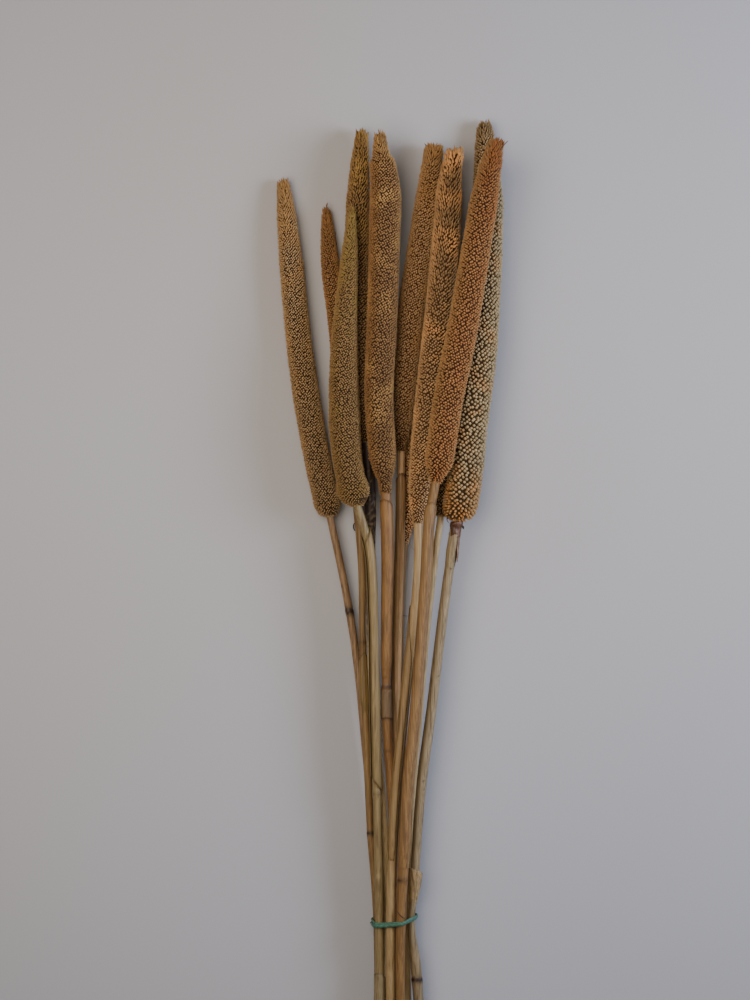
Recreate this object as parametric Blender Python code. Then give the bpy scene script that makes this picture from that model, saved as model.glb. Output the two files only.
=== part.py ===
"""Bunch of eleven dried millet heads on straw stems, tied with a rubber band and lying down."""

import math

import bmesh
import bpy
import numpy as np

MM = 0.001
CUT_Y = -350.0  # cut ends of the stems, mm
GAP = 0.3  # clearance between pieces that touch, mm
SHEATH_WALL = 0.5
SHEATH_SLACK = 0.3  # a sheath sits loosely where its stem bends
TIE_Y = -250.5
TIE_SLOPE = 0.16  # the band runs a little askew across the stems
BAND_WIDTH = 4.6
BAND_WALL = 2.0
STEM_SIDES = 7
HEAD_SIDES = 10
HEAD_RINGS = 18
LUMP_DEPTH = 0.1  # share of the radius between the lumps and the dips of a head
STEM_STEP = 23.5
DROOP = 0.06  # steepest fall of a stalk towards a free end
SHEATH_STEP = 18.0

# Each stalk, in mm: its route over the floor from tip to cut end, the head's radius at each y
# from base to tip, the stem's radius at each y, the y of its knots, and how far its cut end
# falls short of the others.
STALKS = {
    1: {
        "route": [(-80.4, 306), (-74.3, 245), (-67.5, 178), (-55.8, 103), (-44.1, 49), (-31.3, -13),
                  (-25.2, -52), (-17.7, -126), (-10.5, -199), (-2.6, -250), (-0.6, -294), (-0.4, -352)],
        "girth": [(52, 5.6), (55, 8.4), (61, 10.2), (142, 10.5), (242, 9.4), (280, 7.7), (302, 5.2), (306, 4.2)],
        "stem": [(52, 2.9), (-349, 3.2)], "knots": [-19], "short": 3.0,
    },
    2: {
        "route": [(-47.9, 286), (-44.9, 245), (-37.6, 191), (-32.8, 140), (-25.6, 70), (-21.2, 26),
                  (-20.3, -41), (-16.9, -126), (-14.0, -186), (-9.8, -241), (-8.6, -283), (-8.2, -350)],
        "girth": [(60, 4.8), (63, 7.2), (70, 8.9), (173, 8.4), (243, 7.1), (263, 5.9), (282, 3.8), (286, 2.0)],
        "stem": [(60, 3.1), (32, 3.3), (0, 2.8), (-30, 2.5), (-130, 2.9), (-350, 3.0)], "knots": [-42, -186], "short": 1.0,
    },
    3: {
        "route": [(-27.4, 283), (-29.6, 243), (-32.6, 198), (-33.4, 140), (-30.0, 88), (-24.4, 61),
                  (-16.0, 33), (-12.8, -10), (-11.4, -79), (-10.2, -135), (-8.9, -175), (-7.6, -237), (-7.4, -283),
                  (-7.6, -351)],
        "girth": [(60, 5.4), (66, 10.6), (71, 11.8), (80, 11.0), (125, 12.0), (178, 10.4), (252, 6.4), (279, 3.4), (283, 1.8)],
        "stem": [(60, 3.4), (20, 3.0), (-40, 2.7), (-85, 3.1), (-148, 3.0), (-205, 3.4), (-350, 3.6)], "knots": [-155], "short": 2.0,
    },
    4: {
        "route": [(-19.6, 343), (-22.2, 303), (-23.3, 259), (-21.4, 191), (-16.9, 110), (-14.4, 56),
                  (-14.5, 20), (-13.9, -41), (-10.6, -109), (-5.4, -170), (-3.4, -213), (-3.2, -252), (-3.2, -352)],
        "girth": [(108, 5.6), (113, 7.4), (122, 9.2), (215, 9.7), (290, 9.0), (323, 6.9), (339, 5.2), (343, 4.6)],
        "stem": [(108, 4.4), (58, 4.5), (26, 3.8), (-10, 3.2), (-120, 3.3), (-180, 3.5), (-350, 3.5)], "knots": [], "short": 0.0,
    },
    5: {
        "route": [(-7.9, 339), (-6.8, 323), (-4.6, 308), (-4.6, 252), (-6.4, 192), (-8.4, 140), (-5.6, 100), (-3.2, 74),
                  (-1.7, 35), (-2.3, -40), (-2.0, -101), (1.2, -147), (4.2, -207), (4.9, -260), (4.9, -351)],
        "girth": [(69, 4.8), (80, 5.8), (87, 8.3), (97, 10.4), (190, 11.2), (290, 11.8), (318, 9.9), (322, 7.6),
                  (333, 5.4), (339, 4.2)],
        "stem": [(69, 3.8), (33, 3.9), (-25, 3.3), (-70, 3.3), (-110, 3.7), (-350, 3.6)], "knots": [-76], "short": 2.0,
    },
    6: {
        "route": [(35.0, 332), (31.4, 303), (27.3, 273), (17.7, 208), (12.1, 151), (8.7, 113), (8.7, 99),
                  (8.3, 57), (6.8, 8), (5.3, -56), (5.0, -146), (6.4, -252), (7.0, -351)],
        "girth": [(100, 3.6), (106, 4.6), (113, 6.6), (124, 8.8), (216, 9.8), (285, 9.2), (318, 7.6), (329, 6.9), (332, 6.3)],
        "stem": [(100, 2.9), (-347, 3.0)], "knots": [-150], "short": 3.0,
    },
    7: {
        "route": [(49.7, 328), (45.9, 302), (44.1, 272), (37.8, 208), (30.6, 150), (23.5, 75), (21.3, 47),
                  (21.3, 20), (16.9, -33), (10.5, -94), (3.8, -165), (1.3, -222), (0.8, -283), (1.2, -352)],
        "girth": [(46, 4.0), (53, 5.6), (62, 7.8), (75, 9.6), (179, 10.6), (252, 11.2), (294, 10.3), (324, 7.2), (328, 6.3)],
        "stem": [(46, 3.2), (-160, 3.1), (-205, 3.2), (-226, 3.6), (-350, 3.6)], "knots": [], "short": 1.0,
    },
    8: {
        "route": [(74.5, 318), (73.8, 282), (70.8, 224), (67.8, 177), (61.0, 126), (55.4, 75), (50.2, 48),
                  (45.5, 19), (38.9, -30), (31.2, -94), (24.3, -146), (19.8, -204), (18.4, -230), (16.6, -251), (19.6, -283),
                  (24.7, -352)],
        "girth": [(49, 7.4), (51, 10.4), (56, 12.8), (64, 13.6), (130, 13.5), (250, 12.5), (291, 11.4), (315, 8.2), (318, 7.0)],
        "stem": [(49, 3.4), (0, 3.8), (-130, 4.0), (-205, 3.5), (-236, 2.9), (-250, 2.4), (-263, 3.0), (-282, 4.0), (-350, 3.8)], "knots": [-297], "short": 0.0,
    },
    9: {
        "route": [(79.8, 332), (73.1, 301), (61.6, 233), (51.6, 177), (45.3, 147), (38.2, 102), (34.5, 81),
                  (29.6, 51), (27.4, 13), (23.4, -40), (19.3, -93), (13.9, -145), (11.0, -203), (9.1, -237),
                  (8.2, -268), (9.2, -352)],
        "girth": [(77, 4.9), (82, 6.2), (87, 8.8), (95, 10.8), (169, 11.5), (287, 10.4), (317, 8.0), (329, 6.0), (332, 5.4)],
        "stem": [(77, 3.5), (-90, 3.6), (-145, 3.7), (-350, 3.6)], "knots": [-219], "short": 1.0,
    },
    10: {
        "route": [(45.0, 299), (39.7, 254), (32.9, 201), (26.5, 148), (20.9, 110), (15.9, 72), (11.8, 32),
                  (9.4, -3), (8.4, -41), (8.6, -86), (10.4, -147), (13.0, -252), (14.2, -350)],
        "girth": [(31, 3.4), (38, 4.4), (47, 6.4), (60, 8.6), (165, 9.4), (245, 8.2), (283, 6.2), (296, 4.6), (299, 3.8)],
        "stem": [(31, 2.6), (-350, 3.0)], "knots": [-110], "short": 4.0,
    },
    11: {
        "route": [(72.2, 350), (72.2, 329), (71.4, 299), (66.2, 223), (55.6, 140), (46.5, 84), (38.8, 52),
                  (33.4, 12), (28.4, -31), (22.8, -94), (17.0, -162), (15.6, -207), (13.2, -245), (13.0, -283),
                  (14.4, -350)],
        "girth": [(52, 4.6), (57, 7.0), (65, 9.0), (201, 9.6), (296, 9.2), (332, 8.4), (346, 6.8), (350, 4.4)],
        "stem": [(52, 2.7), (-350, 2.9)], "knots": [], "short": 2.0,
    },
}

# From the floor up: each stalk lies on those named before it.
LAID_ORDER = (1, 2, 10, 6, 11, 4, 5, 8, 3, 7, 9)

# Each leaf sheath, in mm and degrees: top and bottom y, extra radius at the top, how far its
# mouth slants back, and the middle and width of its split, counted from the upper side
# towards +X.
SHEATHS = {
    "sheath_2": {"stalk": 2, "top": -49, "bottom": -98, "flare": 0.0, "slant": 14, "split": 200, "width": 70},
    "sheath_3": {"stalk": 3, "top": 46, "bottom": -148, "flare": 0.0, "slant": 12, "split": -35, "width": 40},
    "sheath_3_low": {"stalk": 3, "top": -290, "bottom": -344, "flare": 0.0, "slant": 5, "split": 150, "width": 60},
    "sheath_5": {"stalk": 5, "top": 66, "bottom": -70, "flare": 0.0, "slant": 8, "split": 160, "width": 60},
    "sheath_6": {"stalk": 6, "top": 86, "bottom": -143, "flare": 0.0, "slant": 12, "split": 190, "width": 60},
    "sheath_7": {"stalk": 7, "top": -13, "bottom": -205, "flare": 0.0, "slant": 16, "split": 170, "width": 60},
    "sheath_8": {"stalk": 8, "top": -211, "bottom": -238, "flare": 1.6, "slant": 4, "split": 120, "width": 80},
    "sheath_8_high": {"stalk": 8, "top": 45, "bottom": 13, "flare": 0.0, "slant": 6, "split": 60, "width": 50},
    "sheath_9": {"stalk": 9, "top": 64, "bottom": -212, "flare": 0.0, "slant": 10, "split": 170, "width": 60},
}

STRAW = {
    1: "8C6238", 2: "96804C", 3: "8E8053", 4: "7C6B45", 5: "A9814E", 6: "836139",
    7: "A5855A", 8: "8F8459", 9: "B08A5A", 10: "8E744A", 11: "978A5F",
}
GRAIN = {
    1: "8F7449", 2: "8A5A30", 3: "85703F", 4: "6E5230", 5: "8A6437", 6: "845F33",
    7: "9A7840", 8: "86794F", 9: "9C6134", 10: "84603A", 11: "7D6A45",
}
SHEATH_TONE = "A8905E"
BAND_TONE = "3C8A73"


def clear_scene():
    for old in list(bpy.data.objects):
        bpy.data.objects.remove(old, do_unlink=True)


def linear(code):
    """Linear RGBA of an sRGB hex colour."""
    shares = [int(code[i : i + 2], 16) / 255 for i in (0, 2, 4)]
    turned = [c / 12.92 if c <= 0.04045 else ((c + 0.055) / 1.055) ** 2.4 for c in shares]
    return (*turned, 1.0)


def finish(name, code, roughness):
    material = bpy.data.materials.new(name)
    material.use_nodes = True
    shader = material.node_tree.nodes["Principled BSDF"]
    shader.inputs["Base Color"].default_value = linear(code)
    shader.inputs["Roughness"].default_value = roughness
    material.diffuse_color = linear(code)
    return material


def smooth_through(points, at):
    """The value at each place, on a smooth curve through (value, place) points."""
    places = np.array([p[1] for p in points], float)
    values = np.array([p[0] for p in points], float)
    order = np.argsort(places)
    places, values = places[order], values[order]
    slopes = np.gradient(values, places)
    at = np.clip(np.asarray(at, float), places[0], places[-1])
    left = np.clip(np.searchsorted(places, at) - 1, 0, len(places) - 2)
    span = places[left + 1] - places[left]
    t = (at - places[left]) / span
    start = (1 + 2 * t) * (1 - t) ** 2 * values[left] + t * (1 - t) ** 2 * span * slopes[left]
    end = t**2 * (3 - 2 * t) * values[left + 1] + t**2 * (t - 1) * span * slopes[left + 1]
    return start + end


def tip_y(key):
    return STALKS[key]["route"][0][1]


def cut_y(key):
    return CUT_Y + STALKS[key]["short"]


def base_y(key):
    return STALKS[key]["girth"][0][0]


def head_radius(key, y):
    """Radius of the head at y."""
    places, radii = zip(*STALKS[key]["girth"])
    return np.interp(y, places, radii)


def stem_radius(key, y):
    """Radius of the bare stem at y, with its swollen knots."""
    places, radii = zip(*STALKS[key]["stem"][::-1])
    y = np.asarray(y, float)
    radius = np.interp(y, places, radii)
    for knot in STALKS[key]["knots"]:
        radius = radius + 0.45 * np.exp(-(((y - knot) / 3.0) ** 2))
    return radius


def sheath_radius(sheath, y):
    """Outer radius of the leaf sheath at y, over the stem and its clearance."""
    share = (np.asarray(y, float) - sheath["bottom"]) / (sheath["top"] - sheath["bottom"])
    flare = sheath["flare"] * np.clip(share, 0, 1)
    return stem_radius(sheath["stalk"], y) + GAP + SHEATH_SLACK + SHEATH_WALL + flare


def outer_radius(key, y):
    """Radius that a neighbour has to clear at y."""
    y = np.asarray(y, float)
    radius = np.where(y >= base_y(key), head_radius(key, y), stem_radius(key, y))
    for sheath in SHEATHS.values():
        if sheath["stalk"] == key:
            inside = (y <= sheath["top"] + 4) & (y >= sheath["bottom"] - 4)
            radius = np.where(inside, np.maximum(radius, sheath_radius(sheath, y)), radius)
    return radius


def upper_hull(y, z):
    """The lowest line over the points that never bends upwards, as a stiff stem lies."""
    kept = []
    for point in zip(y, z):
        while len(kept) > 1:
            (y0, z0), (y1, z1) = kept[-2:]
            if (y1 - y0) * (point[1] - z0) - (z1 - z0) * (point[0] - y0) < 0:
                break
            kept.pop()
        kept.append(point)
    hull_y, hull_z = zip(*kept)
    return np.interp(y, hull_y, hull_z)


def lay_down():
    """The height of each stalk's middle along y, each resting on the ones laid before it."""
    laid = {}
    for key in LAID_ORDER:
        y = np.linspace(cut_y(key), tip_y(key), 240)
        x = smooth_through(STALKS[key]["route"], y)
        radius = outer_radius(key, y)
        band = np.where(np.abs(y - TIE_Y) < 9, BAND_WALL + 2 * GAP, 0)
        lowest = radius + band
        for other, (other_y, other_z) in laid.items():
            reach = radius + outer_radius(other, y) + 1.5 * GAP
            aside = x - smooth_through(STALKS[other]["route"], y)
            meets = (np.abs(aside) < reach) & (y > other_y[0] - 3) & (y < other_y[-1] + 3)
            rise = np.sqrt(np.maximum(reach**2 - aside**2, 0))
            lowest = np.where(meets, np.maximum(lowest, np.interp(y, other_y, other_z) + rise), lowest)
        z = upper_hull(y, lowest)
        z = np.maximum.accumulate(z + DROOP * y) - DROOP * y
        z = (np.maximum.accumulate((z - DROOP * y)[::-1])[::-1]) + DROOP * y
        window = np.hanning(31) / np.hanning(31).sum()
        padded = np.pad(z, 15, mode="reflect", reflect_type="odd")
        z = np.convolve(padded, window, mode="valid")
        laid[key] = (y, z + np.max(lowest - z))
    return laid


LAID = lay_down()


def middle(key, y):
    """Centre of the stalk at y, in mm."""
    return smooth_through(STALKS[key]["route"], y), np.interp(y, *LAID[key])


def ring_at(mesh, key, y, radii, turn=0.0):
    """A ring of vertices round the stalk at y, one for each radius."""
    x, z = middle(key, y)
    ring = []
    for side, radius in enumerate(radii):
        angle = 2 * math.pi * side / len(radii) + turn
        place = (x + radius * math.sin(angle), y, z + radius * math.cos(angle))
        ring.append(mesh.verts.new([c * MM for c in place]))
    return ring


def skin(mesh, rings, closed=True):
    """Faces between neighbouring rings, and a cap on the first and the last."""
    for low, high in zip(rings, rings[1:]):
        for side in range(len(low) if closed else len(low) - 1):
            after = (side + 1) % len(low)
            mesh.faces.new((low[side], low[after], high[after], high[side]))
    mesh.faces.new(rings[0][::-1])
    mesh.faces.new(rings[-1])


def add_object(name, mesh, material):
    bmesh.ops.triangulate(mesh, faces=mesh.faces[:])
    bmesh.ops.recalc_face_normals(mesh, faces=mesh.faces[:])
    data = bpy.data.meshes.new(name)
    mesh.to_mesh(data)
    mesh.free()
    data.materials.append(material)
    piece = bpy.data.objects.new(name, data)
    bpy.context.scene.collection.objects.link(piece)
    return piece


def make_head(key):
    """A seed head: rings with alternate lumps and dips, closest where its girth changes most."""
    ys = [place for place, _ in STALKS[key]["girth"]]
    while len(ys) < HEAD_RINGS:
        widest = max(range(len(ys) - 1), key=lambda spot: ys[spot + 1] - ys[spot])
        ys.insert(widest + 1, (ys[widest] + ys[widest + 1]) / 2)
    mesh = bmesh.new()
    rings = []
    for index, y in enumerate(ys):
        radius = float(head_radius(key, y))
        lumps = [radius * (1 - LUMP_DEPTH * ((side + index) % 2)) for side in range(HEAD_SIDES)]
        rings.append(ring_at(mesh, key, float(y), lumps, turn=0.07 * index))
    skin(mesh, rings)
    return add_object(f"head_{key}", mesh, finish(f"grain_{key}", GRAIN[key], 0.9))


def make_stem(key):
    """A straw stem from just under the head to its cut end, with rings at each knot and bulge."""
    top, bottom = base_y(key) - GAP, cut_y(key)
    steps = round((top - bottom) / STEM_STEP)
    fixed = [knot + shift for knot in STALKS[key]["knots"] for shift in (-4.5, 0, 4.5)]
    fixed += [y for y, _ in STALKS[key]["stem"][1:-1] if all(abs(y - knot) > 7 for knot in fixed)]
    inner = np.linspace(bottom, top, steps + 1)[1:-1]
    plain = [float(y) for y in inner if all(abs(y - place) > 8 for place in fixed)]
    mesh = bmesh.new()
    rings = []
    for y in sorted([bottom, *plain, *fixed, top]):
        rings.append(ring_at(mesh, key, y, [float(stem_radius(key, y))] * STEM_SIDES))
    skin(mesh, rings)
    return add_object(f"stem_{key}", mesh, finish(f"straw_{key}", STRAW[key], 0.6))


def make_sheath(name):
    """A thin leaf sheath rolled round its stem, split along one side, with a slanting mouth."""
    sheath = SHEATHS[name]
    spread = math.radians(360 - sheath["width"])
    start = math.radians(sheath["split"] + sheath["width"] / 2)
    steps = max(3, round((sheath["top"] - sheath["bottom"]) / SHEATH_STEP))
    mesh = bmesh.new()
    walls = []
    for wall in (0.0, SHEATH_WALL):
        grid = []
        for step in range(steps + 1):
            row = []
            for point in range(8):
                across = point / 7
                top = sheath["top"] - sheath["slant"] * abs(2 * across - 1) ** 1.5
                y = sheath["bottom"] + (top - sheath["bottom"]) * step / steps
                radius = float(sheath_radius(sheath, y)) - SHEATH_WALL + wall
                angle = start + spread * across
                x, z = middle(sheath["stalk"], y)
                place = (x + radius * math.sin(angle), y, z + radius * math.cos(angle))
                row.append(mesh.verts.new([c * MM for c in place]))
            grid.append(row)
        walls.append(grid)
    inner, outer = walls
    loop = [row + other[::-1] for row, other in zip(outer, inner)]
    for low, high in zip(loop, loop[1:]):
        for side in range(len(low)):
            after = (side + 1) % len(low)
            mesh.faces.new((low[side], low[after], high[after], high[side]))
    for inside, outside in ((inner[0], outer[0]), (inner[-1], outer[-1])):
        for point in range(7):
            mesh.faces.new((inside[point], inside[point + 1], outside[point + 1], outside[point]))
    return add_object(name, mesh, finish(f"{name}_straw", SHEATH_TONE, 0.55))


def band_outline(clearance, points=30):
    """The stretched loop round all the stems at the tie, that far off them."""
    stems = [(*middle(key, TIE_Y), float(stem_radius(key, TIE_Y))) for key in STALKS]
    outline = []
    for step in range(points):
        angle = 2 * math.pi * step / points
        across, up = math.cos(angle), math.sin(angle)
        x, z, radius = max(stems, key=lambda s: s[0] * across + s[1] * up + s[2])
        outline.append((x + (radius + clearance) * across, z + (radius + clearance) * up))
    return outline


def make_band():
    """The rubber band, stretched round the stems a little askew."""
    inner, outer = band_outline(2 * GAP), band_outline(2 * GAP + BAND_WALL)
    centre = sum(x for x, _ in outer) / len(outer)
    mesh = bmesh.new()
    loops = []
    for outline, shift in ((inner, -0.5), (outer, -0.5), (outer, 0.5), (inner, 0.5)):
        loop = []
        for x, z in outline:
            y = TIE_Y + shift * BAND_WIDTH + TIE_SLOPE * (x - centre)
            loop.append(mesh.verts.new((x * MM, y * MM, z * MM)))
        loops.append(loop)
    for first, second in zip(loops, loops[1:] + loops[:1]):
        for side in range(len(first)):
            after = (side + 1) % len(first)
            mesh.faces.new((first[side], first[after], second[after], second[side]))
    return add_object("rubber_band", mesh, finish("teal_rubber", BAND_TONE, 0.5))


def main():
    clear_scene()
    for key in STALKS:
        make_stem(key)
        make_head(key)
    for name in SHEATHS:
        make_sheath(name)
    make_band()


main()
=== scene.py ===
import math

import bmesh
import bpy
import numpy as np
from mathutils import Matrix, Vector, noise


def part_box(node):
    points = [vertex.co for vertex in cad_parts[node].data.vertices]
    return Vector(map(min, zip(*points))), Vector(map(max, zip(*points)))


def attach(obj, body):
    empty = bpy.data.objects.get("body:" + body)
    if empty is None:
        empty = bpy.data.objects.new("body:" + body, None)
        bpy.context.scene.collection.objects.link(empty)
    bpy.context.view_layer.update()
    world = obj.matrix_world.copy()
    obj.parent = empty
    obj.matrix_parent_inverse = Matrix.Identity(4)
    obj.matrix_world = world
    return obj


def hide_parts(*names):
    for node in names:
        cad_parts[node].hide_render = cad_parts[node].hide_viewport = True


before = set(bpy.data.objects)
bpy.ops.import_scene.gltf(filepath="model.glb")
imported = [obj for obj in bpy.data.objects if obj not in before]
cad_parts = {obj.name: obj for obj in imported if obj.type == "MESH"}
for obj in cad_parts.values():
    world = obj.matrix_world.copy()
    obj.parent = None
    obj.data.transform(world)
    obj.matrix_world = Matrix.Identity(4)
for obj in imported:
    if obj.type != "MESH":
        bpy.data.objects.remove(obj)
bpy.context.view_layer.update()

mm = 0.001
chance = np.random.default_rng(11)
goldenAngle = math.pi * (3 - math.sqrt(5))


# colours and nodes

def toLinear(code):
    # an sRGB hex colour as linear red, green, blue and alpha
    shares = [int(code[i:i + 2], 16) / 255 for i in (0, 2, 4)]
    turned = [c / 12.92 if c <= 0.04045 else ((c + 0.055) / 1.055) ** 2.4 for c in shares]
    return (*turned, 1.0)


def startMaterial(name):
    material = bpy.data.materials.new(name)
    material.use_nodes = True
    return material, material.node_tree, material.node_tree.nodes["Principled BSDF"]


def addNode(tree, kind, settings=None, links=None):
    node = tree.nodes.new(kind)
    for name, value in (settings or {}).items():
        if name in node.inputs.keys() or isinstance(name, int):
            node.inputs[name].default_value = value
        else:
            setattr(node, name, value)
    for name, source in (links or {}).items():
        tree.links.new(source, node.inputs[name])
    return node


def setStops(ramp, stops):
    # a colour ramp's stops as (place, hex colour)
    while len(ramp.elements) < len(stops):
        ramp.elements.new(0.5)
    for element, (place, code) in zip(ramp.elements, stops):
        element.position = place
        element.color = toLinear(code)


def setSockets(node, values):
    for socket, value in values.items():
        node.inputs[socket].default_value = value


# reading the solids

def ringsOf(node):
    # the node's rings as rows of middle x, y, middle z and reach, in metres
    points = np.array([vertex.co[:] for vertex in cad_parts[node].data.vertices])
    points = np.unique(np.round(points, 6), axis=0)
    points = points[np.argsort(points[:, 1])]
    groups = np.split(points, np.where(np.diff(points[:, 1]) > 0.0003)[0] + 1)
    rows = []
    for ring in groups:
        if len(ring) < 5:
            continue
        middle = ring.mean(axis=0)
        rows.append((*middle, np.linalg.norm(ring - middle, axis=1).max()))
    return np.array(rows)


def along(rings, y):
    # middle x, middle z and reach at y, on smooth curves through the rings
    places = rings[:, 1]
    y = np.clip(np.asarray(y, float), places[0], places[-1])
    left = np.clip(np.searchsorted(places, y) - 1, 0, len(places) - 2)
    span = places[left + 1] - places[left]
    t = (y - places[left]) / span
    found = []
    for column in (0, 2):
        values = rings[:, column]
        slopes = np.gradient(values, places)
        start = (1 + 2 * t) * (1 - t) ** 2 * values[left] + t * (1 - t) ** 2 * span * slopes[left]
        end = t ** 2 * (3 - 2 * t) * values[left + 1] + t ** 2 * (t - 1) * span * slopes[left + 1]
        found.append(start + end)
    found.append(np.interp(y, places, rings[:, 3]))
    return found


def stalkAt(rings, at):
    # the same three values at one place
    return (float(value) for value in along(rings, at))


stalkCount = sum(name.startswith("head_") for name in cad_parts)
stalks = {key: {"head": ringsOf(f"head_{key}"), "stem": ringsOf(f"stem_{key}")}
          for key in range(1, stalkCount + 1)}
print("stalks read from the frame:", len(stalks))


# making shapes

def pointRound(middleX, at, middleZ, radius, turn):
    # a point round a stalk, with the direction measured from the top towards +X
    return Vector((middleX + radius * math.sin(turn), at, middleZ + radius * math.cos(turn)))


def fade(distance):
    return math.exp(-distance ** 2)


def halfTurn(degrees):
    # the same direction between -180 and 180
    return (degrees + 180) % 360 - 180


def rolledTube(sides, stations, place, closed=True):
    # a grid rolled up: place(across, length) gives each point, both from 0 to 1
    mesh = bmesh.new()
    bmesh.ops.create_grid(mesh, x_segments=sides, y_segments=stations, size=0.5)
    acrossLayer = mesh.verts.layers.float.new("across")
    alongLayer = mesh.verts.layers.float.new("along")
    for vert in mesh.verts:
        across, length = vert.co.x + 0.5, vert.co.y + 0.5
        vert[acrossLayer], vert[alongLayer] = across, length
        vert.co = place(across, length)
    if closed:
        bmesh.ops.remove_doubles(mesh, verts=mesh.verts[:], dist=1e-7)
        bmesh.ops.holes_fill(mesh, edges=[edge for edge in mesh.edges if edge.is_boundary], sides=0)
        bmesh.ops.recalc_face_normals(mesh, faces=mesh.faces[:])
    return mesh


def giveThickness(mesh, thickness):
    bmesh.ops.recalc_face_normals(mesh, faces=mesh.faces[:])
    bmesh.ops.solidify(mesh, geom=mesh.faces[:], thickness=thickness)
    bmesh.ops.recalc_face_normals(mesh, faces=mesh.faces[:])


def meshData(name, mesh):
    data = bpy.data.meshes.new(name)
    mesh.to_mesh(data)
    mesh.free()
    return data


def addObject(name, data):
    made = bpy.data.objects.new(name, data)
    bpy.context.scene.collection.objects.link(made)
    return made


def addPiece(name, data, material, node=None):
    # a finished piece that takes the place of its CAD node, where it has one
    data.materials.append(material)
    data.shade_smooth()
    piece = addObject(name, data)
    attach(piece, "root")
    if node:
        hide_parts(node)


# seed heads

# grain: spacing in mm at the base; fine: the spacing at the tip as a share of that
# the three husk colours from the gap to the tip of a grain: painted shade deep between the grains, the
# body, and a pale painted highlight at the tip
# blush: a second colour; at: where along the head it is strongest, and its span, as shares
# low: how bright the base is against the tip
# spiky: how many mm below the tip the husks stand long and slim
# flank and side: painted light, a colour laid on the flank that faces side, in degrees from the top,
# for how the light falls on that side
# swell: how much fuller the grains stand than the solid; shift: how far to +X in mm
# skirt: how far the bristles just above the base stand out in mm
headLooks = {
    1: {"grain": 1.9, "fine": 0.9, "spiky": 45, "skirt": 0.4, "swell": 1.02, "shift": 0,
        "paintedGapShade": "34220E", "body": "9C7C50", "pale": "E2CAA6", "low": 0.66,
        "blush": "A67E4A", "at": (1.0, 0.35), "paintedLitFlank": "9A7850", "side": -80},
    2: {"grain": 1.9, "fine": 0.9, "spiky": 35, "skirt": 0, "swell": 1.06, "shift": 0,
        "paintedGapShade": "341C06", "body": "845B30", "pale": "CEAA7C", "low": 0.95,
        "blush": "966C40", "at": (1.0, 0.3), "paintedLitFlank": "7C522A", "side": -80},
    3: {"grain": 1.9, "fine": 0.85, "spiky": 35, "skirt": 1.0, "swell": 1.03, "shift": -0.5,
        "paintedGapShade": "321E06", "body": "826438", "pale": "C8A878", "low": 0.66,
        "blush": "8A763E", "at": (0.9, 0.4), "paintedLitFlank": "8E7044", "side": -80},
    4: {"grain": 1.9, "fine": 1.15, "spiky": 90, "skirt": 0, "swell": 1.06, "shift": -1.0,
        "paintedGapShade": "361E06", "body": "7E5C2F", "pale": "CCB28E", "low": 0.65,
        "blush": "A6864C", "at": (1.0, 0.4), "paintedLitFlank": "886234", "side": -80},
    5: {"grain": 2.0, "fine": 0.95, "spiky": 16, "skirt": 0, "swell": 1.04, "shift": 0.5,
        "paintedGapShade": "381F08", "body": "7C5932", "pale": "BE9C70", "low": 0.7,
        "blush": "C09C60", "at": (1.0, 0.1), "paintedLitFlank": "94683E", "side": -80},
    6: {"grain": 1.95, "fine": 0.95, "spiky": 20, "skirt": 0, "swell": 1.09, "shift": -1.2,
        "paintedGapShade": "48280E", "body": "A67E50", "pale": "E6CAA2", "low": 0.62,
        "blush": "A27A48", "at": (1.0, 0.3), "paintedLitFlank": "9A7448", "side": -75},
    7: {"grain": 2.0, "fine": 1.25, "spiky": 115, "skirt": 0, "swell": 1.02, "shift": -0.7,
        "paintedGapShade": "4A2E14", "body": "8C6E48", "pale": "CAB08E", "low": 1.15,
        "blush": "F0B272", "at": (1.0, 0.3), "paintedLitFlank": "A67C50", "side": -75},
    8: {"grain": 3.2, "fine": 0.72, "spiky": 12, "skirt": 0.3, "swell": 1.0, "shift": 0,
        "paintedGapShade": "3A2810", "body": "806C4A", "pale": "BEAC88", "low": 0.85,
        "blush": "AA6E2C", "at": (0.0, 0.2), "paintedLitFlank": "8E8468", "side": 80},
    9: {"grain": 2.35, "fine": 0.9, "spiky": 28, "skirt": 0.3, "swell": 1.05, "shift": -0.6,
        "paintedGapShade": "401E04", "body": "86552A", "pale": "C09868", "low": 0.98,
        "blush": "86522A", "at": (1.0, 0.35), "paintedLitFlank": "A08258", "side": -75},
    10: {"grain": 2.1, "fine": 1.0, "spiky": 30, "skirt": 0, "swell": 1.0, "shift": 0,
         "paintedGapShade": "502E10", "body": "C89E6A", "pale": "F8E0BC", "low": 1.0,
         "blush": "AC7448", "at": (0.0, 0.16), "paintedLitFlank": "8E6A44", "side": -60},
    11: {"grain": 2.1, "fine": 1.0, "spiky": 18, "skirt": 0, "swell": 1.0, "shift": 0,
         "paintedGapShade": "321C08", "body": "7C6644", "pale": "C8B08C", "low": 0.9,
         "blush": "7E5238", "at": (0.0, 0.08), "paintedLitFlank": "7A6442", "side": -80},
}

# what all grains share: the room that one takes as a share of its spacing squared, how far it
# strays as a share of the spacing, its height and width as shares of the spacing, its lean to
# the tip in degrees with the spread of that, how much it is folded back at the base, how much
# more it leans near the tip and in the last tuft, and above what spacing in mm it is plump
grains = {"room": 0.87, "stray": 0.13, "tall": 1.3, "wide": 0.86, "lean": 14, "spread": 5,
          "folded": 56, "upright": 44, "tuft": 18, "plump": 3}


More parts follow.
